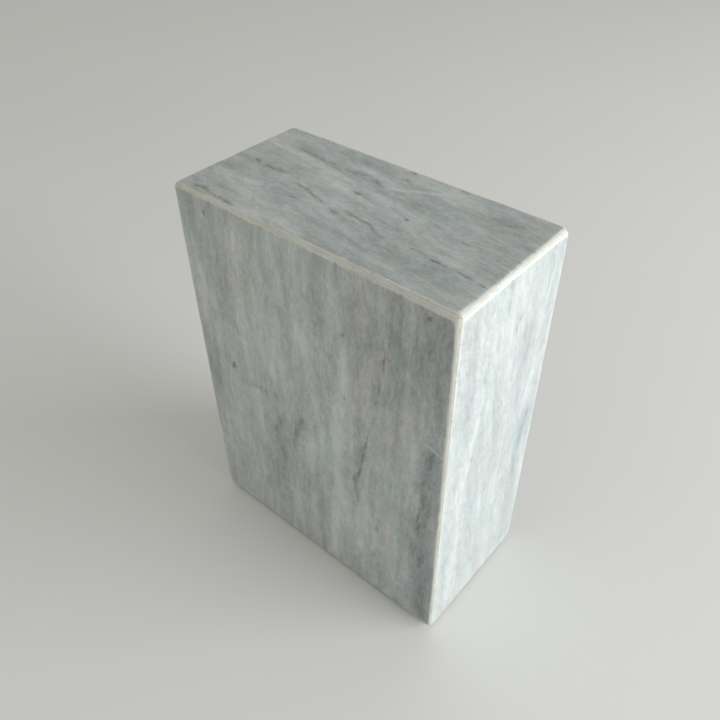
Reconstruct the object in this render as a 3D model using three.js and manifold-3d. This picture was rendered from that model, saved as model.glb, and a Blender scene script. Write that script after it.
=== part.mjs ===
// A bookend block: a hollow box of six mitred marble panels, bonded along all twelve edges and
// standing on four felt pads. Millimetres, +Z up. The origin is on the floor under the block's centre,
// X runs along the wide side, and the faces that books lean on are square to Y.
import * as THREE from "three";
import { ConvexGeometry } from "three/addons/geometries/ConvexGeometry.js";
import { mergeVertices } from "three/addons/utils/BufferGeometryUtils.js";
import Module from "manifold-3d";

// Driving dimensions.
const WIDTH = 150; // along X
const DEPTH = 75; // along Y
const HEIGHT = 200; // along Z, pads included
const PANEL_THICKNESS = 10;
const RIM_LEG = 2; // the edges around the top and the bottom are eased at 45 degrees by this much
const UPRIGHT_LEG = 1.2; // and the four upright edges by this much
const JOINT_GAP = 1; // between two mitred faces, square to them
const SEAM_THICKNESS = 0.8; // of the adhesive in that gap
const BEAD_LEG = 3; // of the adhesive that is squeezed out into each inner corner
const BEAD_OVERLAP = 1.5; // how far the adhesive in the gap runs on into that bead
const CLEARANCE = 0.1; // between a bead and the panels, and between the ends of two seams
const PAD_RADIUS = 6;
const PAD_THICKNESS = 1.5;
const PAD_INSET = 12; // from the block's sides to a pad's centre
const PAD_SIDES = 32;

const ROUNDING = 1e-6; // smaller differences than this come from rounding
const MERGE_DISTANCE = 1e-3; // corners closer together than this are one corner

// A step square to a mitre changes the difference of the two depths by this many times the step.
const MITRE = Math.SQRT2;
const PANEL_STANDOFF = (JOINT_GAP / 2) * MITRE;
const SEAM_STANDOFF = (SEAM_THICKNESS / 2) * MITRE;

// An outer face of the block: its outward normal, and how far out along it the face lies.
function face(name, axis, side, reach) {
  const normal = new THREE.Vector3();
  normal[axis] = side;
  return { name, axis, normal, reach };
}

const FACES = [
  face("front", "y", -1, DEPTH / 2),
  face("back", "y", 1, DEPTH / 2),
  face("left", "x", -1, WIDTH / 2),
  face("right", "x", 1, WIDTH / 2),
  face("top", "z", 1, HEIGHT),
  face("bottom", "z", -1, -PAD_THICKNESS),
];

// The half space in which depths below faces, each times its factor, add up to at least a limit.
function halfSpace(terms, least) {
  const normal = new THREE.Vector3();
  let constant = least;
  for (const [outer, factor] of terms) {
    normal.addScaledVector(outer.normal, factor);
    constant -= outer.reach * factor;
  }
  const length = normal.length();
  return new THREE.Plane(normal.divideScalar(length), constant / length);
}

// How much the edge between two faces is eased.
function easedLeg(a, b) {
  return a.axis === "z" || b.axis === "z" ? RIM_LEG : UPRIGHT_LEG;
}

// Where three planes meet, or null where two of them are parallel.
function meetingPoint(a, b, c) {
  const rows = [a, b, c].flatMap((plane) => plane.normal.toArray());
  const matrix = new THREE.Matrix3().set(...rows);
  if (Math.abs(matrix.determinant()) < ROUNDING) return null;
  const point = new THREE.Vector3(-a.constant, -b.constant, -c.constant);
  return point.applyMatrix3(matrix.invert());
}

// The convex solid that lies inside every half space.
function convexSolid(planes) {
  const corners = [];
  for (let i = 0; i < planes.length; i++)
    for (let j = i + 1; j < planes.length; j++)
      for (let k = j + 1; k < planes.length; k++) {
        const point = meetingPoint(planes[i], planes[j], planes[k]);
        if (!point || planes.some((plane) => plane.distanceToPoint(point) > ROUNDING)) continue;
        if (corners.some((corner) => corner.distanceTo(point) < MERGE_DISTANCE)) continue;
        corners.push(point);
      }
  return new ConvexGeometry(corners);
}

// One panel: its outer face, its inner face, and on each side a mitre and half of an eased edge.
function panelGeometry(outer) {
  const planes = [halfSpace([[outer, 1]], 0), halfSpace([[outer, -1]], -PANEL_THICKNESS)];
  for (const side of FACES.filter((other) => other.axis !== outer.axis)) {
    planes.push(halfSpace([[side, 1], [outer, -1]], PANEL_STANDOFF));
    planes.push(halfSpace([[side, 1], [outer, 1]], easedLeg(side, outer)));
  }
  return convexSolid(planes);
}

// The sheet of adhesive in the mitre between two panels, flush with the eased edge. At each corner
// the upright seams run through to the tip, and the others stop short of them.
function sheetGeometry(a, b, ends) {
  const runsThrough = ends[0].axis === "z";
  const standoff = runsThrough ? -SEAM_STANDOFF : SEAM_STANDOFF + CLEARANCE;
  const planes = [
    halfSpace([[a, 1], [b, -1]], -SEAM_STANDOFF),
    halfSpace([[b, 1], [a, -1]], -SEAM_STANDOFF),
    halfSpace([[a, 1], [b, 1]], easedLeg(a, b)),
    halfSpace([[a, -1], [b, -1]], -2 * PANEL_THICKNESS - BEAD_OVERLAP),
  ];
  for (const end of ends)
    for (const side of [a, b]) {
      planes.push(halfSpace([[end, 1], [side, -1]], standoff));
      planes.push(halfSpace([[end, 1], [side, 1]], easedLeg(end, side)));
    }
  return convexSolid(planes);
}

// The bead in the inner corner along the same seam, short of the beads that it would run into.
function beadGeometry(a, b, ends) {
  const start = PANEL_THICKNESS + CLEARANCE;
  const planes = [
    halfSpace([[a, 1]], start),
    halfSpace([[b, 1]], start),
    halfSpace([[a, -1], [b, -1]], -2 * start - BEAD_LEG),
  ];
  for (const end of ends) planes.push(halfSpace([[end, 1]], start + BEAD_LEG + CLEARANCE));
  return convexSolid(planes);
}

const wasm = await Module();
wasm.setup();

function toManifold(geometry) {
  const bare = geometry.clone().deleteAttribute("normal");
  const merged = mergeVertices(bare, MERGE_DISTANCE);
  const vertProperties = merged.attributes.position.array;
  const triVerts = new Uint32Array(merged.index.array);
  return new wasm.Manifold(new wasm.Mesh({ numProp: 3, vertProperties, triVerts }));
}

function joined(first, second) {
  const mesh = toManifold(first).add(toManifold(second)).getMesh();
  const position = new THREE.BufferAttribute(mesh.vertProperties, mesh.numProp);
  const index = new THREE.BufferAttribute(mesh.triVerts, 1);
  return new THREE.BufferGeometry().setAttribute("position", position).setIndex(index);
}

function seamGeometry(a, b, ends) {
  return joined(sheetGeometry(a, b, ends), beadGeometry(a, b, ends));
}

// A named mesh that stands at the middle of its own geometry.
function placed(name, geometry, material) {
  geometry.computeBoundingBox();
  const middle = geometry.boundingBox.getCenter(new THREE.Vector3());
  const mesh = new THREE.Mesh(geometry.translate(-middle.x, -middle.y, -middle.z), material);
  mesh.name = name;
  mesh.position.copy(middle);
  return mesh;
}

function marble() {
  return new THREE.MeshStandardMaterial({ color: "#b5b9b7", roughness: 0.35, metalness: 0 });
}

function adhesive() {
  return new THREE.MeshStandardMaterial({ color: "#d3d2c7", roughness: 0.6, metalness: 0 });
}

function felt() {
  return new THREE.MeshStandardMaterial({ color: "#5b5c5a", roughness: 0.95, metalness: 0 });
}

// The six panels.
const panels = new THREE.Group();
for (const outer of FACES) panels.add(placed(outer.name + "_panel", panelGeometry(outer), marble()));

// The twelve seams, one for each pair of faces that meet.
const seams = new THREE.Group();
FACES.forEach((a, i) => {
  for (const b of FACES.slice(i + 1)) {
    if (a.axis === b.axis) continue;
    const ends = FACES.filter((end) => end.axis !== a.axis && end.axis !== b.axis);
    seams.add(placed("seam_" + a.name + "_" + b.name, seamGeometry(a, b, ends), adhesive()));
  }
});

// The four pads, stuck under the bottom panel, with their discs turned to lie flat.
const pads = new THREE.Group();
pads.position.z = PAD_THICKNESS / 2;
for (const [row, y] of [["front", -1], ["back", 1]])
  for (const [column, x] of [["left", -1], ["right", 1]]) {
    const disc = new THREE.CylinderGeometry(PAD_RADIUS, PAD_RADIUS, PAD_THICKNESS, PAD_SIDES);
    const pad = new THREE.Mesh(disc, felt());
    pad.name = "pad_" + row + "_" + column;
    pad.rotation.x = Math.PI / 2;
    pad.position.set(x * (WIDTH / 2 - PAD_INSET), y * (DEPTH / 2 - PAD_INSET), 0);
    pads.add(pad);
  }

const bookend = new THREE.Group();
bookend.add(panels, seams, pads);

export default bookend;
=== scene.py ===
"""A marble bookend block: worked stone panels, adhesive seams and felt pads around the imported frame.

The CAD model's panels, seams and pads are flat-faced, so each is replaced by a detailed piece in the
same place. Lengths are millimetres until a mesh is made, and metres in Blender.
"""

import math

import bpy
import numpy as np
from mathutils import Matrix, Vector


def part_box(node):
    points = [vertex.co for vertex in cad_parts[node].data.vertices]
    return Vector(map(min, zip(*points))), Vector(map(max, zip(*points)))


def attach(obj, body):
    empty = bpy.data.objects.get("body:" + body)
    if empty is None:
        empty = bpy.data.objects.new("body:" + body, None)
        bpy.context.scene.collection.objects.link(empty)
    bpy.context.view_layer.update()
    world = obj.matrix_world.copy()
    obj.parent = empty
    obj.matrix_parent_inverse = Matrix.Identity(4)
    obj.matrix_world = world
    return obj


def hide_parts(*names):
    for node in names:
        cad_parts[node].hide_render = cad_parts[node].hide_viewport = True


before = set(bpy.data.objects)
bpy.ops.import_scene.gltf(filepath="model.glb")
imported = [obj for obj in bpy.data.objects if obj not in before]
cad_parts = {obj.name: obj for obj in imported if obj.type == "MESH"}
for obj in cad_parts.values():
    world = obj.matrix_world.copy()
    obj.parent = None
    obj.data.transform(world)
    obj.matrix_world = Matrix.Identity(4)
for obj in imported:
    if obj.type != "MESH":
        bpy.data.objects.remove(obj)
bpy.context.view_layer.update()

MM = 0.001
X, Y, Z = 0, 1, 2

# ---------------------------------------------------------------- camera and light

CAMERA_PLACE = (0.1729, -0.2006, 0.3470)
CAMERA_FORWARD = (-0.4940, 0.5671, -0.6590)
CAMERA_ROLL = math.radians(-0.84)
CAMERA_LENS = 36.48


def add_camera():
    data = bpy.data.cameras.new("camera")
    data.sensor_width = 36
    data.lens = CAMERA_LENS
    camera = bpy.data.objects.new("camera", data)
    aim = Vector(CAMERA_FORWARD).to_track_quat("-Z", "Y").to_matrix()
    roll = Matrix.Rotation(CAMERA_ROLL, 3, "Z")
    camera.matrix_world = Matrix.Translation(CAMERA_PLACE) @ (aim @ roll).to_4x4()
    bpy.context.collection.objects.link(camera)
    bpy.context.scene.camera = camera


def add_area_light(name, place, target, size, power, colour):
    data = bpy.data.lights.new(name, "AREA")
    data.shape = "RECTANGLE"
    data.size, data.size_y = size
    data.energy = power
    data.color = colour
    light = bpy.data.objects.new(name, data)
    light.location = place
    light.rotation_euler = (Vector(target) - Vector(place)).to_track_quat("-Z", "Y").to_euler()
    bpy.context.collection.objects.link(light)


def add_world(colour, strength):
    world = bpy.data.worlds.new("studio")
    world.use_nodes = True
    background = world.node_tree.nodes["Background"]
    background.inputs["Color"].default_value = (*colour, 1)
    background.inputs["Strength"].default_value = strength
    bpy.context.scene.world = world


add_camera()
block_middle = (0, 0, 0.1)
add_area_light("window", (1.47, 0.535, 0.43), block_middle, (1.4, 1.0), 31, (0.955, 0.985, 1.03))
add_area_light("far wall", (-0.9, -2.2, 0.9), block_middle, (2.0, 1.6), 3.2, (1.0, 0.985, 0.95))
add_world((1.0, 0.985, 0.945), 0.46)
bpy.context.scene.view_settings.view_transform = "Standard"

# ---------------------------------------------------------------- the block's faces and edges


class Face:
    """One outer face of the block, as its panel's place in the frame gives it."""

    def __init__(self, name, axis, side):
        self.name = name
        self.axis = axis
        self.side = side
        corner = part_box(name + "_panel")[0 if side < 0 else 1]
        self.reach = corner[axis] / MM

    def depth(self, point):
        """How far below this face a point lies."""
        return self.side * (self.reach - point[self.axis])

    def at_depth(self, depth):
        """The coordinate along this face's axis at a depth below it."""
        return self.reach - self.side * depth


FACES = [
    Face("front", Y, -1),
    Face("back", Y, 1),
    Face("left", X, -1),
    Face("right", X, 1),
    Face("top", Z, 1),
    Face("bottom", Z, -1),
]

panel_low, panel_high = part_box("front_panel")
THICKNESS = (panel_high[Y] - panel_low[Y]) / MM
JOINT_GAP = 1.0  # between two mitred panels, square to the mitre
SEAM_THICKNESS = 0.97  # of the adhesive in that gap

# A step square to a mitre changes the difference of the two depths by this many times the step.
MITRE = math.sqrt(2)
JOINT_STANDOFF = JOINT_GAP / 2 * MITRE
SEAM_STANDOFF = SEAM_THICKNESS / 2 * MITRE

# How much each edge is eased at 45 degrees, at the low and the high end of the edge.
EASED = {
    ("front", "top"): (1.0, 1.95),
    ("right", "top"): (1.75, 1.5),
    ("back", "top"): (1.8, 1.8),
    ("left", "top"): (1.8, 2.0),
    ("front", "right"): (0.8, 1.45),
    ("front", "left"): (0.7, 1.6),
    ("back", "right"): (0.8, 1.7),
    ("back", "left"): (0.8, 1.5),
    ("front", "bottom"): (0.7, 0.9),
    ("back", "bottom"): (0.9, 0.8),
    ("left", "bottom"): (0.8, 0.7),
    ("right", "bottom"): (0.8, 0.9),
}
EDGE_ROUNDING = 0.5  # how softly an eased edge runs into the faces
CORNER_EASE = 1.25  # how much more the tip of a corner is cut than its edges alone would
CORNER_WEAR = 0.45  # how much more an edge is eased at its ends
CORNER_WEAR_LENGTH = 7.0  # and over what length
WAVER_SHARE, WAVER_LENGTH = 0.05, 26  # slow changes of an eased edge's width
NIBBLE, NIBBLE_LENGTH = 0.03, 4  # and quick ones


def wander(key, place, length):
    """A smooth value between about -1 and 1 that changes along place, a different one for each key."""
    rng = np.random.default_rng(key)
    total = 0 * place
    for octave in range(5):
        wave = length / 1.8**octave * rng.uniform(0.8, 1.25)
        total += 0.62**octave * np.sin(2 * math.pi * (place / wave + rng.uniform()))
    return total / 1.7


def edge_key(a, b):
    """A number of its own for each ordered pair of faces."""
    return 10 * FACES.index(a) + FACES.index(b)


def running_axis(a, b):
    """The axis along which the edge between two faces runs."""
    return 3 - a.axis - b.axis


def eased_leg(a, b, place):
    """How much the edge between two faces is eased, at a coordinate along it."""
    if (a.name, b.name) not in EASED:
        a, b = b, a
    low, high = sorted(face.reach for face in FACES if face.axis == running_axis(a, b))
    share = np.clip((place - low) / (high - low), 0, 1)
    start, end = EASED[a.name, b.name]
    nearer_end = np.minimum(share, 1 - share) * (high - low)
    leg = start + (end - start) * share + CORNER_WEAR * np.exp(-nearer_end / CORNER_WEAR_LENGTH)
    waver = WAVER_SHARE * leg * wander(edge_key(a, b), place, WAVER_LENGTH)
    return leg + waver + NIBBLE * wander(edge_key(b, a), place, NIBBLE_LENGTH)


def corner_cut(a, b, c):
    """The least sum of the three depths near the tip where three eased edges meet."""
    legs = [eased_leg(p, q, r.reach) for p, q, r in ((a, b, c), (b, c, a), (a, c, b))]
    return CORNER_EASE * 0.5 * sum(legs)


def cut_depth(outer, point):
    """How far the worked surface lies below a face's own plane, at points on that face."""
    sides = [side for side in FACES if side.axis != outer.axis]
    terms = [np.zeros_like(point[0])]
    for side in sides:
        leg = eased_leg(outer, side, point[running_axis(outer, side)])
        terms.append((leg - side.depth(point)) / EDGE_ROUNDING)
    for a in sides:
        for b in sides:
            if a.axis < b.axis:
                tip = corner_cut(outer, a, b)
                terms.append((tip - a.depth(point) - b.depth(point)) / EDGE_ROUNDING)
    return EDGE_ROUNDING * np.logaddexp.reduce(np.stack(terms), axis=0)


# ---------------------------------------------------------------- stone panels

EDGE_ZONE = 6.0  # how wide a strip of fine grid lines runs along each side
EDGE_LINES = (np.arange(16) / 15) ** 1.5
SEEN_STEP = 0.75  # between the other grid lines
UNSEEN_STEP = 0.9
FITTING_PASSES = 24  # each moves the grid's ends half of the way to the mitres
SEEN = ("front", "right", "top")


def grid_lines(low, high, first, last, step):
    """Coordinates from low + first to high - last: fine near both ends, and evenly spaced between.

    first and last are arrays, one value for each line across, so that the ends follow the mitres.
    """
    start = low + first + np.outer(EDGE_LINES, EDGE_ZONE - first)
    end = high - last - np.outer(EDGE_LINES[::-1], EDGE_ZONE - last)
    count = max(2, round((high - low - 2 * EDGE_ZONE) / step))
    middle = np.linspace(low + EDGE_ZONE, high - EDGE_ZONE, count + 1)[1:-1]
    return np.vstack([start, np.repeat(middle[:, None], len(first), axis=1), end])


def panel_surface(outer):
    """The panel's worked face as a grid of points, cut off all round at the mitres."""
    u, v = [axis for axis in (X, Y, Z) if axis != outer.axis]
    low_u, high_u = sorted(face.reach for face in FACES if face.axis == u)
    low_v, high_v = sorted(face.reach for face in FACES if face.axis == v)
    step = SEEN_STEP if outer.name in SEEN else UNSEEN_STEP
    one = np.ones(1)
    n_u = len(grid_lines(low_u, high_u, one, one, step))
    n_v = len(grid_lines(low_v, high_v, one, one, step))
    ends_u = [np.ones(n_v), np.ones(n_v)]
    ends_v = [np.ones(n_u), np.ones(n_u)]
    point = [None, None, None]
    for _ in range(FITTING_PASSES):
        point[u] = grid_lines(low_u, high_u, *ends_u, step)
        point[v] = grid_lines(low_v, high_v, *ends_v, step).T
        point[outer.axis] = np.full((n_u, n_v), outer.reach)
        depth = cut_depth(outer, point)
        mitre = depth + JOINT_STANDOFF
        ends_u = [0.5 * (ends_u[0] + mitre[0]), 0.5 * (ends_u[1] + mitre[-1])]
        ends_v = [0.5 * (ends_v[0] + mitre[:, 0]), 0.5 * (ends_v[1] + mitre[:, -1])]
    point[outer.axis] = outer.at_depth(depth)
    return np.stack(point, axis=-1), u, v


def panel_mesh(outer):
    """The closed panel's points and faces: its worked face, four mitres and a flat inner face."""
    surface, u, v = panel_surface(outer)
    n_u, n_v = surface.shape[:2]
    points = surface.reshape(-1, 3)
    index = np.arange(n_u * n_v).reshape(n_u, n_v)
    quads = np.stack([index[:-1, :-1], index[1:, :-1], index[1:, 1:], index[:-1, 1:]], axis=-1)
    faces = quads.reshape(-1, 4).tolist()

    inset = THICKNESS + JOINT_STANDOFF
    inner = []
    for side_u in (0, 1):
        for side_v in (0, 1):
            corner = np.zeros(3)
            for axis, side in ((u, side_u), (v, side_v)):
                low, high = sorted(face.reach for face in FACES if face.axis == axis)
                corner[axis] = high - inset if side else low + inset
            corner[outer.axis] = outer.at_depth(THICKNESS)
            inner.append(corner)
    first = len(points)
    low_low, low_high, high_low, high_high = range(first, first + 4)
    rims = (
        (index[:, 0], low_low, high_low),
        (index[-1, :], high_low, high_high),
        (index[::-1, -1], high_high, low_high),
        (index[0, ::-1], low_high, low_low),
    )
    for rim, start, end in rims:
        half = len(rim) // 2
        faces += [[rim[i + 1], rim[i], start] for i in range(half)]
        faces += [[rim[half], start, end]]
        faces += [[rim[i + 1], rim[i], end] for i in range(half, len(rim) - 1)]
    faces.append([low_low, low_high, high_high, high_low])

    flipped = (outer.side < 0) != (outer.axis == Y)
    if flipped:
        faces = [face[::-1] for face in faces]
    return np.vstack([points, inner]), faces


def new_object(name, points, faces, material, sharp_angle=38):
    """A smooth-shaded mesh object in metres, from points in millimetres."""
    mesh = bpy.data.meshes.new(name)
    places = (np.asarray(points) * MM).tolist()
    mesh.from_pydata(places, [], [list(map(int, face)) for face in faces])
    mesh.polygons.foreach_set("use_smooth", [True] * len(mesh.polygons))
    mesh.set_sharp_from_angle(angle=math.radians(sharp_angle))
    mesh.materials.append(material)
    mesh.update()
    piece = bpy.data.objects.new(name, mesh)
    bpy.context.collection.objects.link(piece)
    return piece


def store(piece, name, values):
    """Keeps one number per vertex on the mesh, for its material to read."""
    attribute = piece.data.attributes.new(name, "FLOAT", "POINT")
    attribute.data.foreach_set("value", np.asarray(values, dtype=np.float32))


# ---------------------------------------------------------------- node graphs


class Graph:
    """Short calls that build one material's nodes. An input may be a number, a colour or a socket."""

    def __init__(self, name):
        self.material = bpy.data.materials.new(name)
        self.material.use_nodes = True
        self.tree = self.material.node_tree
        self.shader = self.tree.nodes["Principled BSDF"]

    def feed(self, socket, value):
        if isinstance(value, bpy.types.NodeSocket):
            self.tree.links.new(value, socket)
        else:
            socket.default_value = value

    def node(self, kind, *values, **settings):
        node = self.tree.nodes.new("ShaderNode" + kind)
        for key, setting in settings.items():
            setattr(node, key, setting)
        for socket, value in zip(node.inputs, values):
            if value is not None:
                self.feed(socket, value)
        return node

    def math(self, operation, *values):
        return self.node("Math", *values, operation=operation).outputs[0]

    def add(self, *values):
        total = values[0]
        for value in values[1:]:
            total = self.math("ADD", total, value)
        return total

    def times(self, a, b):
        return self.math("MULTIPLY", a, b)

    def vector(self, operation, *values):
        node = self.node("VectorMath", *values, operation=operation)
        return node.outputs["Value" if operation in ("DOT_PRODUCT", "LENGTH") else "Vector"]

    def combine(self, x, y, z):
        return self.node("CombineXYZ", x, y, z).outputs[0]

    def ramp(self, value, low, high, start=0.0, end=1.0):
        """A smooth step from start to end as value goes from low to high."""
        node = self.node("MapRange", value, low, high, start, end, interpolation_type="SMOOTHSTEP")
        return node.outputs[0]

    def mix(self, share, a, b):
        node = self.node("Mix", data_type="RGBA")
        self.feed(node.inputs[0], share)
        self.feed(node.inputs[6], a)
        self.feed(node.inputs[7], b)
        return node.outputs[2]

    def noise(self, place, detail=2.0, roughness=0.5, distortion=0.0):
        node = self.node("TexNoise", place)
        node.inputs["Scale"].default_value = 1
        node.inputs["Detail"].default_value = detail
        node.inputs["Roughness"].default_value = roughness
        node.inputs["Distortion"].default_value = distortion
        return node.outputs[0]

    def attribute(self, name):
        return self.node("Attribute", attribute_name=name).outputs["Fac"]

    def position(self):
        """The object coordinates in millimetres."""
        place = self.node("TexCoord").outputs["Object"]
        return self.vector("MULTIPLY", place, (1000, 1000, 1000))

    def bump(self, height, depth, strength=1.0):
        """A bump from a height between 0 and 1 that stands for a depth in millimetres."""
        node = self.node("Bump")
        node.inputs["Strength"].default_value = strength
        node.inputs["Distance"].default_value = depth * MM
        self.feed(node.inputs["Height"], height)
        return node.outputs[0]

    def finish(self, colour, roughness, normal):
        self.feed(self.shader.inputs["Base Color"], colour)
        self.feed(self.shader.inputs["Roughness"], roughness)
        self.feed(self.shader.inputs["Normal"], normal)
        return self.material


# ---------------------------------------------------------------- marble

STONE = (0.443, 0.479, 0.463)
MILKY_STONE = (0.600, 0.650, 0.650, 1)
VEIN = (0.150, 0.155, 0.130, 1)
CUT_STONE = (0.725, 0.732, 0.672, 1)
CUT_STONE_GREY = (0.600, 0.610, 0.550, 1)


def depth_below_faces(graph, place):
    """How far a place lies below the nearest of each pair of outer faces: (x, y, z) in millimetres."""
    depths = []
    for axis, value in enumerate(graph.node("SeparateXYZ", place).outputs):
        low, high = sorted(face.reach for face in FACES if face.axis == axis)
        offset = graph.math("ABSOLUTE", graph.add(value, -0.5 * (low + high)))
        depths.append(graph.math("SUBTRACT", 0.5 * (high - low), offset))
    return depths


def edge_lines(graph, place, depths):
    """A noise of fine lines that run along each eased edge, as sawing and grinding leave them."""
    near = [graph.times(graph.math("MINIMUM", depth, 5.0), 2.2) for depth in depths]
    drift = graph.vector("SCALE", place, None, None, 0.045)
    return graph.noise(graph.vector("ADD", graph.combine(*near), drift), 3, 0.6)


# How bright each panel's stone is, and how much of each layer of the figure it shows: clouds, bands,
# patches, streaks and crystals.
FIGURE = {
    "front": (1.06, (0.49, 0.84, 0.75, 0.22, 0.14)),
    "right": (1.07, (0.26, 0.60, 0.54, 0.23, 0.15)),
    "top": (1.035, (0.46, 0.80, 0.76, 0.24, 0.14)),
    "back": (1.06, (0.60, 0.98, 0.84, 0.24, 0.15)),
    "left": (1.06, (0.54, 0.88, 0.80, 0.24, 0.15)),
    "bottom": (1.02, (0.50, 0.88, 0.82, 0.26, 0.15)),
}
# How far each panel's colour strays between green and rose, and between yellow and blue.
TINT = {
    "front": (0.34, 0.22),
    "right": (0.24, 0.12),
    "top": (0.17, 0.28),
    "back": (0.28, 0.22),
    "left": (0.28, 0.20),
    "bottom": (0.26, 0.20),
}
# How far each panel's grain is turned, in degrees, and which part of the slab it is cut from.
GRAIN = {
    "front": (2, 1),
    "right": (-7, 2),
    "top": (-6, 3),
    "back": (-3, 4),
    "left": (4, 5),
    "bottom": (5, 6),
}


def slab(graph, outer, place):
    """Gives a function for places in the slab that a panel is cut from, for its noises to read.

    The grain runs up the panel, or along X on the top and the bottom.
    """
    lean, seed = GRAIN[outer.name]
    u, v = [axis for axis in (X, Y, Z) if axis != outer.axis]
    grain_axis, across_axis = (u, v) if outer.axis == Z else (v, u)
    turn = math.radians(lean)
    grain, across, through = Vector(), Vector(), Vector()
    grain[grain_axis], grain[across_axis] = math.cos(turn), math.sin(turn)
    across[across_axis], across[grain_axis] = math.cos(turn), -math.sin(turn)
    through[outer.axis] = 1

    s = graph.add(graph.vector("DOT_PRODUCT", place, grain), 211.0 * seed)
    t = graph.vector("DOT_PRODUCT", place, across)
    w = graph.vector("DOT_PRODUCT", place, through)

    def at(along, sideways, shift):
        """A place with its lengths along and across the grain divided into periods."""
        return graph.combine(
            graph.add(graph.times(s, 1 / along), shift),
            graph.times(t, 1 / sideways),
            graph.times(w, 1 / sideways),
        )

    # From here on the grain is bent, so what at gives after this is too.
    slow_bend = graph.noise(at(80, 45, 0), 1)
    quick_bend = graph.noise(at(16, 8, 30), 2)
    slow_shift = graph.times(graph.add(slow_bend, -0.5), 9)
    quick_shift = graph.times(graph.add(quick_bend, -0.5), 1.7)
    t = graph.add(t, slow_shift, quick_shift)
    return at


def stone_colour(graph, outer, at, layers):
    """The stone's colour: its layers of figure, the stored areas of tone with their painted light and
    shade, and how it strays between green, rose and blue.
    """
    brightness, shares = FIGURE[outer.name]
    figure = [graph.times(graph.add(layer, -0.5), share) for layer, share in zip(layers, shares)]
    # the tone attribute brings in painted light and shade along with the stone's own tone
    tone = graph.times(graph.add(1.0, graph.attribute("tone"), *figure), brightness)
    bands = layers[1]
    rose = graph.noise(at(36, 9, 11), 4, 0.62)
    blue = graph.noise(at(30, 8, 67), 4, 0.62)
    rose_share, blue_share = TINT[outer.name]
    rosiness = graph.add(
        1.0,
        graph.times(graph.add(rose, -0.5), rose_share),
        graph.times(graph.add(bands, -0.5), 0.2 * rose_share),
        graph.times(graph.attribute("tint"), 0.10),
    )
    blueness = graph.add(
        1.0,
        graph.times(graph.add(blue, -0.5), blue_share),
        graph.times(graph.attribute("tint"), -0.04),
    )
    colour = graph.vector("MULTIPLY", STONE, graph.combine(rosiness, 1.0, blueness))
    return graph.vector("SCALE", colour, None, None, graph.math("MAXIMUM", tone, 0.5))


def vein_darkness(graph, at, broken):
    """How much of the vein colour shows: each vein's ragged core and faint halo, and clustered flecks."""
    dark = graph.attribute("dark")
    ragged = graph.add(dark, graph.times(graph.add(broken, -0.775), -1.9))
    core = graph.times(graph.ramp(ragged, 0.2, 0.95), graph.math("MINIMUM", graph.times(dark, 4), 1))
    drawn = graph.add(graph.times(core, 0.5), graph.times(dark, 0.24))
    clusters = graph.ramp(graph.noise(at(34, 17, 57), 2), 0.47, 0.6)
    flecks = graph.times(graph.ramp(graph.noise(at(4.2, 1.25, 51), 2), 0.62, 0.74), clusters)
    return graph.math("MINIMUM", graph.add(drawn, graph.times(flecks, 0.42)), 0.85)


def cut_stone(graph, place, jagged):
    """The bruised stone along the eased edges: where it is, its lines from grinding, and its colour."""
    depths = depth_below_faces(graph, place)
    depth = graph.math("MINIMUM", depths[0], graph.math("MINIMUM", depths[1], depths[2]))
    cut = graph.ramp(graph.times(depth, graph.math("POWER", 28.0, jagged)), 0.035, 0.22)
    lines = edge_lines(graph, place, depths)
    colour = graph.mix(graph.ramp(lines, 0.36, 0.62), CUT_STONE_GREY, CUT_STONE)
    pits = graph.ramp(graph.noise(graph.vector("SCALE", place, None, None, 0.8), 2), 0.67, 0.73)
    return cut, lines, graph.mix(graph.times(pits, 0.6), colour, VEIN)


def marble(outer):
    """The stone of one panel, polished on its face and bruised along its eased edges."""
    graph = Graph("marble_" + outer.name)
    place = graph.position()
    at = slab(graph, outer, place)

    clouds = graph.noise(at(60, 30, 3), 5, 0.62)
    bands = graph.noise(at(50, 6.5, 17), 4, 0.6)
    patches = graph.noise(at(8, 3.6, 23), 4, 0.72)
    streaks = graph.noise(at(10, 1.8, 37), 3, 0.6)
    cell = graph.node("TexVoronoi", at(1.5, 0.85, 29))
    cell.inputs["Scale"].default_value = 1
    crystals = graph.node("SeparateXYZ", cell.outputs["Color"]).outputs[0]

    colour = stone_colour(graph, outer, at, (clouds, bands, patches, streaks, crystals))
    broken = graph.add(graph.times(patches, 0.6), graph.times(streaks, 0.8), graph.times(crystals, 0.15))
    milky = graph.times(graph.attribute("pale"), graph.ramp(broken, 0.6, 0.95, 0.45, 1.1))
    colour = graph.mix(milky, colour, MILKY_STONE)
    darkness = vein_darkness(graph, at, broken)
    colour = graph.mix(darkness, colour, VEIN)

    jagged = graph.add(
        graph.times(streaks, 0.5),
        graph.times(patches, 0.8),
        graph.times(bands, 0.5),
        -0.9,
    )
    cut, lines, cut_colour = cut_stone(graph, place, jagged)
    colour = graph.mix(graph.times(cut, 0.94), colour, cut_colour)

    shine = graph.ramp(graph.add(crystals, graph.times(patches, 0.6)), 0.3, 1.1, 0.32, 0.42)
    roughness = graph.add(graph.times(cut, 0.12), shine)
    relief = graph.add(
        graph.times(crystals, graph.add(graph.times(cut, 0.5), 0.15)),
        graph.times(graph.times(lines, cut), 1.2),
        graph.times(darkness, -0.6),
    )
    return graph.finish(colour, roughness, graph.bump(relief, 0.06, 0.5))
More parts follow.
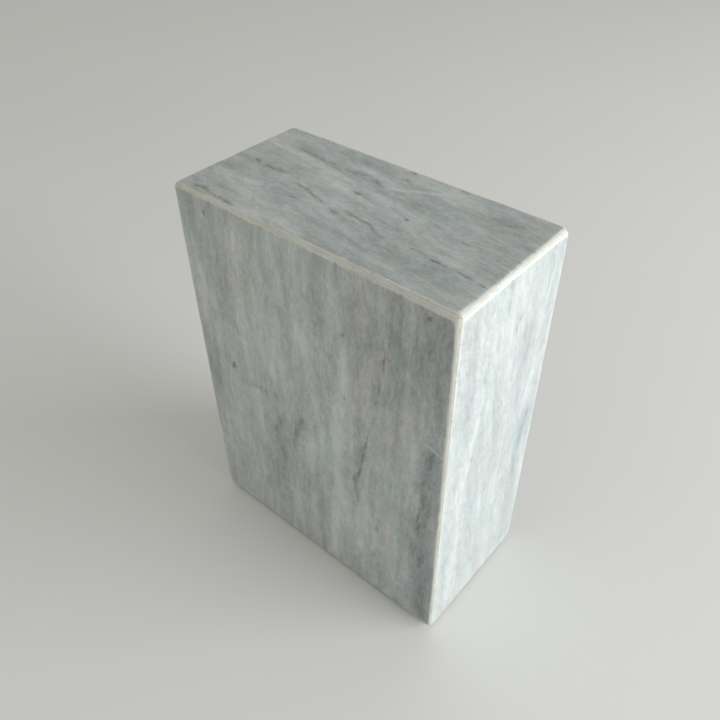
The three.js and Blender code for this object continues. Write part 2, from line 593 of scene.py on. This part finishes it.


# ---------------------------------------------------------------- natural marks on the faces, and areas of tone and painted light and shade

# Each mark is (strength, width, points): a line through points on the face, in millimetres, given as
# (x, z) on the front, (y, z) on the right side and (x, y) on the top.
DARK_MARKS = {
    "front": [
        (0.94, 1.1, [(-55.4, 193), (-55.4, 190)]),
        (1, 1.4, [(62.6, 194.6), (63, 193.2)]),
        (1, 2.0, [(-51.6, 109.6), (-52.6, 106.4)]),
        (0.49, 1.4, [(-45, 164.8), (-43, 164.4)]),
        (0.82, 1.2, [(22, 166.4), (21.8, 164.8)]),
        (0.71, 1.0, [(21.5, 132), (21.2, 129.6)]),
        (0.5, 0.9, [(46.3, 184), (45.6, 176), (45.2, 165)]),
        (0.5, 0.9, [(44, 170), (42.6, 160), (40.6, 146), (38.6, 129), (35, 117)]),
        (0.82, 1.2, [(34.4, 116), (31.8, 103), (30.2, 92), (27, 79), (28, 66)]),
        (0.68, 1.8, [(26.8, 83), (26.6, 77)]),
        (0.71, 1.4, [(39.8, 56), (39.4, 51.4)]),
        (0.36, 1.4, [(38.4, 34), (37.4, 24)]),
        (0.63, 2.0, [(66.2, 101), (65.6, 92)]),
        (0.72, 1.2, [(64, 92), (63.4, 82), (63.6, 70)]),
        (0.54, 1.4, [(65.6, 58), (65.8, 47)]),
        (0.5, 1.9, [(-5, 100.4), (-9.2, 93), (-12, 84.6), (-12.8, 78)]),
        (0.5, 2.0, [(-20, 89), (-24.2, 83), (-24.6, 75), (-21.4, 62)]),
        (0.36, 1.4, [(-40.8, 101.4), (-32, 104), (-20.8, 106)]),
        (0.43, 1.4, [(-69.4, 50), (-70, 47)]),
        (0.32, 1.1, [(30.8, 158), (30, 143)]),
        (0.36, 1.1, [(20.2, 57), (19.8, 49)]),
        (0.32, 1.2, [(8.6, 168), (6.6, 157)]),
    ],
    "right": [
        (0.35, 1.0, [(-4.4, 189), (-4.8, 184.6)]),
        (0.37, 1.2, [(5.2, 176), (4.6, 167)]),
        (0.3, 2.2, [(20.6, 173), (21.2, 171)]),
        (0.25, 1.2, [(-29.6, 184.6), (-29.4, 182)]),
        (0.4, 0.8, [(-16, 160), (-16.6, 155)]),
        (0.29, 1.1, [(0.2, 134), (-0.6, 128)]),
        (0.35, 1.0, [(1.4, 119), (2.2, 117.4)]),
        (0.4, 1.2, [(-17.4, 116), (-19, 111)]),
        (0.29, 0.9, [(-3.8, 107), (-4, 101)]),
        (0.26, 1.8, [(26.8, 98), (25.4, 82), (23.4, 64)]),
        (0.3, 1.9, [(29.4, 107), (30, 104)]),
        (0.25, 1.6, [(-10, 63), (-9.2, 49)]),
        (0.25, 1.2, [(-12, 79), (-10, 66)]),
    ],
    "top": [
        (0.56, 1.4, [(-55, 20.4), (-45, 19.2), (-36, 18), (-28, 16.4)]),
        (0.6, 1.4, [(-36, 17.8), (-27, 16.6), (-19, 17.8), (-10.6, 19.8), (-6, 18), (-1.6, 15.6)]),
        (0.9, 1.6, [(-61.8, 0.4), (-58, -1.6)]),
        (0.8, 1.6, [(-54, -0.8), (-48.2, -1.2), (-42, -1.4)]),
        (0.7, 1.1, [(-32, -4.2), (-25, -6.4), (-16, -8.7), (-12.6, -10.2)]),
        (0.74, 1.2, [(-1, -9.7), (3, -10.6), (7.4, -10.3), (13, -11.4), (17.4, -13.6)]),
        (0.51, 1.1, [(17.4, -13.6), (21.8, -14.7), (28.4, -14.2)]),
        (0.56, 1.1, [(36, -14.2), (43, -15.3), (50, -16.5), (56, -15.6), (64, -17), (72, -17.8)]),
        (0.96, 1.1, [(46, -15.8), (50.6, -16.5)]),
        (0.84, 1.1, [(68, -17.4), (71.4, -17.8)]),
        (0.65, 1.2, [(-65, -32.6), (-58, -33), (-48, -34), (-38, -34.8)]),
        (0.73, 1.2, [(-8.2, 5), (-4.4, 4.4)]),
        (1, 1.2, [(22.3, 0.9), (23.1, 0.5)]),
        (0.61, 1.0, [(-23, -24.1), (-20.8, -24.6)]),
        (0.61, 1.0, [(-26.2, -14.6), (-22.8, -14.9)]),
        (0.56, 1.0, [(-6, -12), (-0.8, -13.2)]),
        (0.61, 1.1, [(5.4, 15.6), (7.4, 15.2), (10, 15.9)]),
        (0.5, 1.1, [(1.6, 28), (4, 25.8)]),
        (0.73, 1.1, [(-1, 33.8), (3, 33.5)]),
        (0.73, 1.1, [(26, 33.4), (30, 32.8)]),
        (0.47, 0.9, [(43, 23), (53, 21.4), (61, 19.2), (72, 18.6)]),
        (0.37, 1.1, [(43, 23.2), (62, 22.4)]),
        (0.5, 1.0, [(17.8, 14), (21.6, 12.7)]),
        (0.42, 1.1, [(30.6, 5.3), (37, 4.6)]),
        (0.33, 1.1, [(-38.4, -23), (-35, -27.6), (-31.6, -32)]),
    ],
}
PALE_MARKS = {
    "front": [
        (0.6, 0.7, [(-72.2, 197), (-72.8, 140)]),
        (0.4, 0.5, [(-73, 140), (-73.2, 4)]),
        (0.8, 0.7, [(62.8, 131.8), (68, 131.4), (73, 129.2)]),
        (0.55, 0.7, [(-2, 116.8), (6.4, 119.8), (13, 121), (19.4, 123.8)]),
        (0.45, 0.7, [(-62, 126.5), (-44, 120.5), (-26, 121.5), (-2, 116.8)]),
        (0.6, 0.8, [(0.5, 161), (10, 149), (20.5, 136)]),
        (0.4, 0.7, [(4, 88.5), (18, 89.5), (30, 87.5), (46, 90), (55, 88)]),
        (0.85, 2.0, [(15, 121), (14.4, 100), (16.4, 66), (13.6, 36), (10.8, 9)]),
        (0.85, 1.4, [(22.2, 156), (21.2, 132)]),
        (0.7, 2.6, [(-4, 156), (0.4, 143)]),
        (0.75, 1.7, [(-15.8, 192), (-15, 174), (-11.4, 166)]),
        (0.75, 1.7, [(-19.8, 141), (-22, 122)]),
        (0.85, 1.6, [(-35.6, 101), (-36, 75)]),
        (0.65, 1.7, [(-63.4, 155), (-68.8, 130)]),
        (0.7, 1.8, [(59.4, 129), (58, 107), (56.2, 85)]),
        (0.75, 1.8, [(62, 98), (61.8, 91)]),
        (0.6, 3.2, [(-1, 86), (-2, 70)]),
        (0.35, 1.0, [(32.2, 97), (31, 85)]),
        (0.3, 2.4, [(-39.2, 42), (-39.6, 34)]),
    ],
    "right": [
        (0.9, 0.6, [(34.7, 198), (35, 3)]),
        (0.95, 1.2, [(-15.2, 149), (-18.8, 126), (-22.4, 100), (-24, 76)]),
        (0.95, 1.2, [(25.6, 141), (23.2, 120), (21, 108)]),
        (0.6, 1.2, [(29, 187), (26.8, 172)]),
        (0.5, 1.0, [(6.2, 173), (4, 145)]),
        (0.6, 2.0, [(6.4, 79), (5, 71)]),
        (0.5, 1.2, [(-6.6, 87), (-7.4, 70)]),
        (0.6, 1.8, [(-24.6, 45), (-24.8, 12)]),
        (0.55, 1.5, [(-5.2, 25), (-3, 3)]),
        (0.5, 1.2, [(-22.4, 64), (-21.8, 42)]),
        (0.5, 1.1, [(0.4, 189), (-1, 170)]),
        (0.4, 1.0, [(8.2, 122), (8, 101)]),
    ],
    "top": [
        (0.9, 0.5, [(-73, 34.7), (73, 34.8)]),
        (0.7, 0.5, [(-72.3, -34), (-72.3, 34)]),
        (0.95, 0.9, [(1.6, 15.6), (9.4, 19.8), (17.4, 23.8), (22.8, 27.2), (29.6, 30.8)]),
        (0.75, 2.0, [(-72, 17.6), (-53, 16.2), (-28, 12.4), (-8, 10.6), (3, 8.2), (20, 5.4), (28, 4.2)]),
        (0.9, 2.2, [(-55, -15.6), (-50, -16.2), (-43, -15.6)]),
        (0.6, 1.0, [(-38.8, -0.4), (-38.8, -13.6)]),
        (0.3, 0.8, [(-38.8, 37), (-38.6, 22)]),
        (0.4, 1.8, [(-33, -29), (-16, -31.6), (-2, -33.6)]),
        (0.35, 1.8, [(30, -6.8), (58, -7)]),
    ],
}
# Wider areas that are lighter or darker: (tone, tint, width, points), with tint above 0 for warmer. On
# the front, the right side and the top they are partly the stone's own tone and partly painted light and
# shade.
AREA_TONE_AND_PAINTED_LIGHT = {
    "front": [
        (0.12, 0.22, 9.0, [(-36, 182), (-34, 132)]),
        (0.12, -0.15, 2.8, [(-16, 195), (-15, 174), (-12, 166)]),
        (0.15, 0.00, 3.6, [(-4, 156), (0, 144)]),
        (0.16, -0.15, 3.0, [(22, 158), (20, 132)]),
        (0.16, -0.20, 3.6, [(16, 126), (17, 85), (14, 40), (11, 10)]),
        (0.13, -0.20, 3.0, [(-20, 145), (-23, 115)]),
        (0.14, -0.05, 2.6, [(-36, 98), (-36, 74)]),
        (0.14, 0.00, 3.6, [(0, 88), (-3, 66)]),
        (0.10, 0.10, 3.4, [(-65, 160), (-70, 130)]),
        (0.03, 0.25, 8.0, [(-55, 88), (-55, 82)]),
        (0.04, 0.20, 8.0, [(-60, 44), (-60, 36)]),
        (0.03, 0.20, 7.0, [(40, 130), (41, 122)]),
        (0.02, -0.20, 5.0, [(42, 88), (42, 80)]),
        (0.08, 0.00, 3.5, [(61, 100), (61, 90)]),
        (0.04, 0.20, 6.0, [(40, 66), (37, 44)]),
        (-0.12, 0.00, 12.0, [(-72, 196), (-54, 182)]),
        (-0.14, 0.08, 16.0, [(66, 192), (52, 160)]),
        (-0.10, 0.05, 8.0, [(34, 186), (34, 166)]),
        (-0.22, -0.15, 4.5, [(68, 128), (66, 70), (67, 10)]),
        (-0.12, -0.25, 9.0, [(62, 56), (64, 12)]),
        (-0.22, -0.25, 5.5, [(-66, 116), (-68, 90)]),
        (-0.12, -0.15, 3.0, [(-43, 102), (-22, 104)]),
        (-0.18, -0.05, 4.0, [(-21, 90), (-24, 80), (-21, 63)]),
        (-0.14, -0.10, 3.4, [(-7, 95), (-12, 84), (-15, 74)]),
        (-0.10, -0.25, 5.0, [(10, 178), (13, 150)]),
        (-0.07, -0.20, 4.0, [(-55, 168), (-55, 138)]),
        (-0.10, 0.10, 4.0, [(38, 146), (37, 112)]),
        (-0.08, 0.05, 4.0, [(33, 104), (26, 82)]),
        (-0.08, -0.20, 6.0, [(50, 180), (51, 170)]),
        (-0.07, -0.10, 10.0, [(-28, 48), (-26, 12)]),
        (-0.07, -0.20, 5.0, [(5, 50), (5, 40)]),
        (-0.04, -0.15, 8.0, [(-55, 16), (-53, 8)]),
        # painted shade: a darker strip down the front beside the near upright edge
        (-0.13, 0.00, 11.0, [(69, 192), (69, 8)]),
        (0.07, 0.00, 15.0, [(-32, 132), (-8, 88)]),
        (0.07, 0.00, 13.0, [(-14, 122), (8, 110)]),
        (-0.07, 0.00, 10.0, [(58, 152), (58, 138)]),
        (-0.05, 0.00, 14.0, [(-18, 12), (66, 14)]),
        (0.00, 0.25, 13.0, [(38, 186), (42, 142)]),
    ],
    "right": [
        # painted light: a lighter strip down the right side beside the near upright edge
        (0.07, 0.00, 3.2, [(-37, 196), (-37, 150)]),
        (0.14, 0.00, 4.0, [(-36.5, 140), (-36, 4)]),
        (-0.12, -0.20, 3.5, [(14, 166), (16, 146)]),
        (-0.10, -0.10, 3.5, [(-27, 158), (-28, 142)]),
        (-0.14, -0.25, 3.2, [(27.5, 106), (24, 80), (24, 44), (26, 12)]),
        (-0.10, -0.15, 3.5, [(-30, 54), (-31, 46)]),
        (0.08, 0.05, 4.0, [(-17, 150), (-21, 120), (-26, 95), (-22, 60)]),
        (0.08, 0.15, 5.0, [(0, 190), (-4, 165)]),
        (0.08, 0.00, 4.0, [(-24, 50), (-26, 15)]),
        (0.05, 0.20, 6.0, [(-10, 120), (-8, 100)]),
        (0.06, 0.00, 3.0, [(28, 140), (24, 115)]),
        (0.04, 0.15, 5.0, [(10, 35), (10, 15)]),
    ],
    "top": [
        (0.14, 0.00, 3.5, [(-42, 15), (-24, 12)]),
        (0.12, 0.10, 4.0, [(-26, 6), (-8, 7)]),
        (0.10, -0.15, 3.5, [(2, 7), (28, 4)]),
        (0.05, 0.20, 6.0, [(-62, 16), (-42, 12)]),
        (0.04, 0.20, 6.0, [(-60, -8), (-40, -9)]),
        (0.05, 0.15, 5.0, [(-18, -12), (-10, -13)]),
        (0.08, 0.00, 4.0, [(20, 32), (28, 28)]),
        (-0.12, -0.20, 6.0, [(20, -23), (60, -24)]),
        (-0.08, -0.10, 6.0, [(12, 17), (36, 14)]),
        (-0.08, 0.00, 8.0, [(50, 27), (70, 24)]),
        (-0.06, -0.10, 7.0, [(-55, 26), (-20, 27)]),
        (-0.06, 0.00, 4.0, [(-34, -12), (-22, -14)]),
    ],
}


def unseen_marks(outer):
    """Veins, pale streaks and areas of tone for a face with no list of its own, along its grain."""
    u, v = [axis for axis in (X, Y, Z) if axis != outer.axis]
    lean, seed = GRAIN[outer.name]
    rng = np.random.default_rng(300 + seed)
    ranges = [sorted(face.reach for face in FACES if face.axis == axis) for axis in (u, v)]
    turn = math.radians(lean)
    grain = np.array([-math.sin(turn), math.cos(turn)])
    if outer.axis == Z:
        grain = np.array([math.cos(turn), math.sin(turn)])

    def line(length, bends):
        """A slightly bent line along the grain, from a random place on the face."""
        point = np.array([rng.uniform(low + 6, high - 6) for low, high in ranges])
        points = [tuple(point)]
        for _ in range(bends):
            stray = rng.normal(0, 0.10)
            point = point + length / bends * (grain + stray * np.array([grain[1], -grain[0]]))
            points.append(tuple(point))
        return points

    dark, pale, areas = [], [], []
    for _ in range(6):
        dark.append((rng.uniform(0.4, 0.65), rng.uniform(0.9, 1.3), line(rng.uniform(22, 55), 4)))
        pale.append((rng.uniform(0.4, 0.65), rng.uniform(0.9, 2.2), line(rng.uniform(25, 70), 3)))
    for _ in range(12):
        dark.append((rng.uniform(0.3, 0.7), rng.uniform(1.0, 1.8), line(rng.uniform(1, 7), 1)))
        tone, tint = rng.uniform(-0.16, -0.05), rng.uniform(-0.25, 0.05)
        areas.append((tone, tint, rng.uniform(4, 9), line(28, 2)))
        tone, tint = rng.uniform(0.05, 0.14), rng.uniform(-0.2, 0.25)
        areas.append((tone, tint, rng.uniform(3, 8), line(28, 2)))
    return dark, pale, areas


def face_marks(outer):
    """The dark and pale marks of a face, and its areas of tone and painted light and shade."""
    if outer.name in SEEN:
        return DARK_MARKS[outer.name], PALE_MARKS[outer.name], AREA_TONE_AND_PAINTED_LIGHT[outer.name]
    return unseen_marks(outer)


def nearest(first, second, points):
    """The distance from each face point to a line through points, and its share of the way along it."""
    best = np.full(len(first), 1e9)
    share = np.full(len(first), 0.5)
    spans = len(points) - 1
    for i in range(spans):
        start = np.array(points[i], dtype=float)
        way = np.array(points[i + 1]) - start
        length2 = float(way @ way)
        along = np.clip(((first - start[0]) * way[0] + (second - start[1]) * way[1]) / length2, 0, 1)
        gap = np.hypot(first - start[0] - along * way[0], second - start[1] - along * way[1])
        nearer = gap < best
        best[nearer] = gap[nearer]
        share[nearer] = (i + along[nearer]) / spans
    return best, share


def mark_panel(piece, outer, points):
    """Stores the face's marks on the mesh: its natural dark and pale lines, and areas of tone and tint
    that are partly the stone's own and partly painted light and shade.
    """
    u, v = [axis for axis in (X, Y, Z) if axis != outer.axis]
    first = points[:, u] + 0.5 * wander(101, points[:, v], 17)
    second = points[:, v] + 0.4 * wander(102, points[:, u], 14)
    near_face = outer.depth(points.T) < 2
    dark_marks, pale_marks, areas_of_tone_and_painted_light = face_marks(outer)
    for name, marks in (("dark", dark_marks), ("pale", pale_marks)):
        total = np.zeros(len(points))
        for strength, width, line in marks:
            gap, share = nearest(first, second, line)
            taper = 0.45 + 0.55 * np.sqrt(np.clip(4 * share * (1 - share), 0, 1))
            total = np.maximum(total, strength * np.exp(-((gap / (width * taper)) ** 2)))
        store(piece, name, total * near_face)
    tone = np.zeros(len(points))
    tint = np.zeros(len(points))
    for tone_change, tint_change, width, line in areas_of_tone_and_painted_light:
        gap, _ = nearest(first, second, line)
        share = np.exp(-((gap / width) ** 2))
        tone += tone_change * share
        tint += tint_change * share
    # the stored tone holds painted light and shade as well as the stone's tone
    store(piece, "tone", tone)
    store(piece, "tint", tint)


def add_panel(outer):
    points, faces = panel_mesh(outer)
    piece = new_object("stone_" + outer.name, points, faces, marble(outer))
    mark_panel(piece, outer, points)
    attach(piece, "root")
    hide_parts(outer.name + "_panel")


for face in FACES:
    add_panel(face)

# ---------------------------------------------------------------- adhesive seams

BEAD = 3.0  # of the adhesive that is squeezed out into each inner corner
BEAD_CLEARANCE = 0.1  # between that bead and the panels
SEAM_STEP = 1.2  # between the sections of a seam
SEAM_DIP = 0.03  # the adhesive shrinks a little below the eased edge
BUTT_GAP = 0.03  # between a seam that stops and the one it meets
END_ZONE = 14.0  # how long a stretch at each end of a seam has closer sections
END_SECTIONS = 24
TIP_STEP = 0.01  # of the search for a seam's end
TIP_DEPTH = 0.06  # of adhesive where a seam ends, as a sum of two depths


def adhesive():
    """Pale cream filled resin: clouded, darker where it meets the stone, with a few air holes."""
    graph = Graph("adhesive")
    place = graph.position()
    cloudy = graph.noise(graph.vector("SCALE", place, None, None, 0.12), 4, 0.6)
    fine = graph.noise(graph.vector("SCALE", place, None, None, 0.9), 3, 0.6)
    share = graph.ramp(cloudy, 0.36, 0.64)
    colour = graph.mix(share, (0.625, 0.620, 0.540, 1), (0.745, 0.742, 0.670, 1))
    margin = graph.ramp(graph.attribute("margin"), 0.5, 0.95, 0.0, 0.55)
    colour = graph.mix(margin, colour, (0.480, 0.465, 0.360, 1))
    holes = graph.ramp(fine, 0.68, 0.74)
    colour = graph.mix(graph.times(holes, 0.6), colour, (0.15, 0.14, 0.09, 1))
    roughness = graph.ramp(fine, 0.3, 0.7, 0.42, 0.6)
    return graph.finish(colour, roughness, graph.bump(graph.times(holes, -1), 0.12, 0.6))


def worked_sum(a, b, difference, place):
    """The sum of the depths below two faces where the worked surface crosses the joint between them.

    difference is how much deeper a point lies below a than below b, and place its coordinate along the
    joint. The surface is cut_depth's: each term of its sum, taken here as a power of one unknown.
    """
    half = 0.5 * difference / EDGE_ROUNDING
    square = np.exp(eased_leg(a, b, place) / EDGE_ROUNDING)
    single = np.exp(half) + np.exp(-half)
    for end in (face for face in FACES if face.axis == running_axis(a, b)):
        inset = end.side * (end.reach - place)
        square = square + np.exp((corner_cut(a, b, end) - inset) / EDGE_ROUNDING)
        single = single + np.exp((eased_leg(a, end, b.reach) - inset) / EDGE_ROUNDING - half)
        single = single + np.exp((eased_leg(b, end, a.reach) - inset) / EDGE_ROUNDING + half)
    root = (np.sqrt(single**2 + 4 * square) - single) / (2 * square)
    return -2 * EDGE_ROUNDING * np.log(root)


def seam_row(a, b, place, end_inset, through):
    """One section of a seam, as depths below a and b and its margin value, all round it.

    end_inset is how far the section is from the block's nearer end. A seam that runs through fills the
    tip there. Any other stops where the one that does begins.
    """
    across = np.array([-1, -0.7, -0.35, 0, 0.35, 0.7, 1])
    difference = across * SEAM_STANDOFF
    full = 2 * THICKNESS + 2 * BEAD_CLEARANCE + SEAM_STANDOFF
    if through:
        deepest = 2 * (end_inset + SEAM_STANDOFF) - np.abs(difference)
    else:
        deepest = 2 * (end_inset - SEAM_STANDOFF - BUTT_GAP) + np.abs(difference)
    outer = worked_sum(a, b, difference, place) + SEAM_DIP * (1 - across**2)
    bead = max(0.0, min(BEAD, end_inset - THICKNESS - 2.0))
    inner = np.minimum(full - np.abs(difference) + SEAM_STANDOFF, deepest)
    outer = np.minimum(outer, inner - 0.04)
    if bead < SEAM_STANDOFF:
        bead = 0.0
    share = (np.arange(1, 6) / 6) ** 1.5
    far_side = [(outer[-1] + q * (inner[-1] - outer[-1]), difference[-1]) for q in share]
    near_side = [(outer[0] + q * (inner[0] - outer[0]), difference[0]) for q in share[::-1]]
    fillet = []
    for q in (1, 0.75, 0.5, 0.25, 0, -0.25, -0.5, -0.75, -1):
        if bead:
            fillet.append((full + bead * (0.78 + 0.22 * q * q), q * bead))
        else:
            fillet.append((np.interp(q, across, inner), q * SEAM_STANDOFF))
    ring = list(zip(outer, difference)) + far_side + fillet + near_side
    total, gap = np.array(ring).T
    margin = np.concatenate([np.abs(across), np.ones(len(ring) - len(across))])
    return 0.5 * (total + gap), 0.5 * (total - gap), margin


def add_seam(a, b, material):
    """A seam between two panels, with a bead along the inside. Upright seams run through to the tips."""
    run = running_axis(a, b)
    ends = [face for face in FACES if face.axis == run]
    low_end, high_end = sorted(ends, key=lambda face: face.reach)
    length = high_end.reach - low_end.reach
    through = run == Z
    stop = -SEAM_STANDOFF if through else SEAM_STANDOFF + BUTT_GAP
    insets = []
    for end in (low_end, high_end):
        tip = 0.5
        while worked_sum(a, b, 0.0, end.at_depth(tip)) > 2 * (tip - stop) - TIP_DEPTH:
            tip += TIP_STEP
        share = np.arange(END_SECTIONS) / (END_SECTIONS - 1)
        insets.append(tip + END_ZONE * share**1.6)
    low_side, high_side = insets
    steps = round((length - low_side[-1] - high_side[-1]) / SEAM_STEP)
    middle = np.linspace(low_side[-1], length - high_side[-1], steps + 1)[1:-1]
    rows = []
    margins = []
    for along in np.concatenate([low_side, middle, length - high_side[::-1]]):
        place = low_end.reach + along
        depth_a, depth_b, margin = seam_row(a, b, place, min(along, length - along), through)
        row = np.zeros((len(depth_a), 3))
        row[:, a.axis] = a.at_depth(depth_a)
        row[:, b.axis] = b.at_depth(depth_b)
        row[:, run] = place
        rows.append(row)
        margins.append(margin)
    count = len(rows[0])
    faces = []
    for i in range(len(rows) - 1):
        for j in range(count):
            k = (j + 1) % count
            faces.append([i * count + j, i * count + k, (i + 1) * count + k, (i + 1) * count + j])
    last = (len(rows) - 1) * count
    faces.append(list(range(count))[::-1])
    faces.append(list(range(last, last + count)))
    if (a.side * b.side > 0) != ((b.axis - a.axis) % 3 == 1):
        faces = [face[::-1] for face in faces]
    name = f"{a.name}_{b.name}"
    piece = new_object("joint_" + name, np.vstack(rows), faces, material)
    store(piece, "margin", np.concatenate(margins))
    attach(piece, "root")
    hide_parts("seam_" + name)


seam_material = adhesive()
for number, face in enumerate(FACES):
    for other in FACES[number + 1 :]:
        if other.axis != face.axis:
            add_seam(face, other, seam_material)

# ---------------------------------------------------------------- felt pads

PAD_TURNS = 72  # points round a pad


def felt():
    """Dark grey pressed wool, with short fibres that lie every way."""
    graph = Graph("felt")
    place = graph.position()
    coarse = graph.noise(graph.vector("MULTIPLY", place, (1.3, 1.3, 1.3)), 4, 0.7, 1.2)
    fibres = graph.noise(graph.vector("MULTIPLY", place, (5.0, 5.0, 9.0)), 3, 0.7, 2.0)
    share = graph.ramp(coarse, 0.35, 0.65)
    colour = graph.mix(share, (0.075, 0.076, 0.074, 1), (0.15, 0.15, 0.145, 1))
    colour = graph.mix(graph.ramp(fibres, 0.55, 0.72, 0, 0.5), colour, (0.26, 0.26, 0.25, 1))
    graph.shader.inputs["Sheen Weight"].default_value = 0.3
    return graph.finish(colour, graph.ramp(coarse, 0.3, 0.7, 0.85, 1.0), graph.bump(fibres, 0.15, 0.8))


def add_pad(row, column, material):
    """A punched felt disc with soft, slightly uneven edges, pressed flat by the block."""
    node = f"pad_{row}_{column}"
    low, high = (np.array(corner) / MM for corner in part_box(node))
    middle = 0.5 * (low + high)
    radius = 0.5 * (high[X] - low[X])
    thickness = high[Z] - low[Z]
    profile = [(0.0, 0.0), (0.45, 0.0), (0.8, 0.0), (0.95, 0.03), (0.985, 0.16), (1.0, 0.4)]
    profile += [(share, 1 - rise) for share, rise in profile[-2::-1]]
    angle = np.arange(PAD_TURNS) * 2 * math.pi / PAD_TURNS
    seed = len(row) * 10 + len(column)  # a different one for each pad
    points = []
    faces = []
    for share, rise in profile[1:-1]:
        edge = radius * share * (1 + 0.012 * share * wander((seed, 3), angle, 0.9))
        height = np.full(PAD_TURNS, low[Z] + thickness * rise)
        points += list(zip(middle[X] + edge * np.cos(angle), middle[Y] + edge * np.sin(angle), height))
    rings = len(profile) - 2
    for ring in range(rings - 1):
        near, far = ring * PAD_TURNS, (ring + 1) * PAD_TURNS
        for i in range(PAD_TURNS):
            k = (i + 1) % PAD_TURNS
            faces.append([near + i, near + k, far + k, far + i])
    bottom, top = len(points), len(points) + 1
    points += [(middle[X], middle[Y], low[Z]), (middle[X], middle[Y], high[Z])]
    last = (rings - 1) * PAD_TURNS
    for i in range(PAD_TURNS):
        k = (i + 1) % PAD_TURNS
        faces.append([bottom, k, i])
        faces.append([top, last + i, last + k])
    piece = new_object("felt_" + node, points, faces, material, 70)
    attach(piece, "root")
    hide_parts(node)


felt_material = felt()
for row in ("front", "back"):
    for column in ("left", "right"):
        add_pad(row, column, felt_material)

# ---------------------------------------------------------------- floor


def add_floor():
    """A plain pale table top, far wider than the view."""
    graph = Graph("table")
    place = graph.position()
    soft = graph.noise(graph.vector("MULTIPLY", place, (0.004, 0.004, 0.004)), 2)
    grit = graph.noise(graph.vector("MULTIPLY", place, (0.7, 0.7, 0.7)), 3)
    colour = graph.mix(soft, (0.80, 0.80, 0.775, 1), (0.83, 0.83, 0.805, 1))
    roughness = graph.ramp(grit, 0.3, 0.7, 0.5, 0.6)
    material = graph.finish(colour, roughness, graph.bump(grit, 0.02, 0.3))
    reach = 3000
    corners = [(-reach, -reach, 0), (reach, -reach, 0), (reach, reach, 0), (-reach, reach, 0)]
    new_object("floor", corners, [[0, 1, 2, 3]], material)


add_floor()
